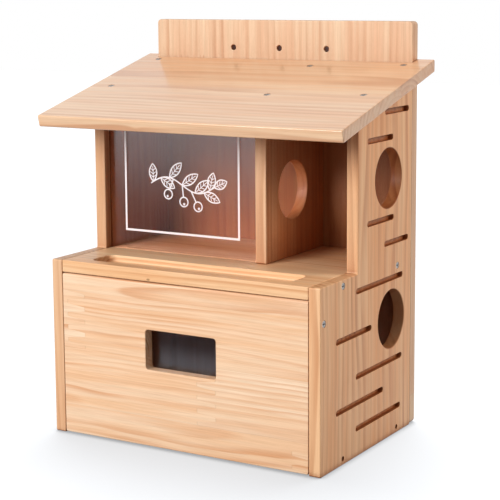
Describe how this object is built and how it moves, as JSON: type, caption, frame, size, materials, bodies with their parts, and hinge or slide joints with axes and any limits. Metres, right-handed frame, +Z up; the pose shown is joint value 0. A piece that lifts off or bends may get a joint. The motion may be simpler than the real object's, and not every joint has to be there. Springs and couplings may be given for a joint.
{
  "type": "squirrel feeder box",
  "caption": "Pine squirrel feeder and nest box: sloping roof, glazed bay beside an open bay, shelf with nut tray, side entrances, climbing grooves and a front panel that swings open.",
  "frame": {"origin": "middle of the box's footprint at ground level, between the front face and the back of the backboard", "axes": "+X to the right as seen from the front, +Y to the back, +Z up"},
  "size_m": [0.421, 0.255, 0.507],
  "materials": {
    "pine_side": "bare sanded pine, warmer and darker on the shaded faces",
    "pine_back": "bare sanded pine, upright grain",
    "pine_roof": "bare sanded pine, grain across the width",
    "pine_shelf": "bare sanded pine, grain across the width",
    "pine_front": "bare sanded pine, grain across the width, finger-jointed",
    "clear_acrylic": "clear acrylic, gloss",
    "window_acrylic": "clear acrylic over a dark chamber, gloss",
    "zinc_steel": "zinc-plated steel"
  },
  "bodies": {
    "box": {"left_side_panel": "pine_side", "right_side_panel": "pine_side", "backboard": "pine_back", "roof_board": "pine_roof", "feeding_shelf": "pine_shelf", "partition": "pine_side", "bottom_board": "pine_side", "bay_pane": "clear_acrylic", "left_shelf_screw_front": "zinc_steel", "left_bottom_screw_front": "zinc_steel", "left_shelf_screw_back": "zinc_steel", "left_bottom_screw_back": "zinc_steel", "right_shelf_screw_front": "zinc_steel", "right_bottom_screw_front": "zinc_steel", "right_shelf_screw_back": "zinc_steel", "right_bottom_screw_back": "zinc_steel", "roof_screw_left_front": "zinc_steel", "roof_screw_left_back": "zinc_steel", "roof_screw_partition_front": "zinc_steel", "roof_screw_partition_back": "zinc_steel", "roof_screw_right_front": "zinc_steel", "roof_screw_right_back": "zinc_steel", "back_screw_left_1": "zinc_steel", "back_screw_left_2": "zinc_steel", "back_screw_left_3": "zinc_steel", "back_screw_partition_1": "zinc_steel", "back_screw_partition_2": "zinc_steel", "back_screw_right_1": "zinc_steel", "back_screw_right_2": "zinc_steel", "back_screw_right_3": "zinc_steel"},
    "swing_panel": {"front_panel": "pine_front", "window_pane": "window_acrylic", "pivot_screw_left": "zinc_steel", "pivot_screw_right": "zinc_steel", "window_screw_1": "zinc_steel", "window_screw_2": "zinc_steel", "window_screw_3": "zinc_steel", "window_screw_4": "zinc_steel"}
  },
  "joints": [
    {"name": "front_panel_hinge", "type": "hinge", "parent": "box", "child": "swing_panel", "pos_m": [0, -0.1185, 0.1767], "axis": [-1, 0, 0], "range_deg": [0, 143]}
  ]
}
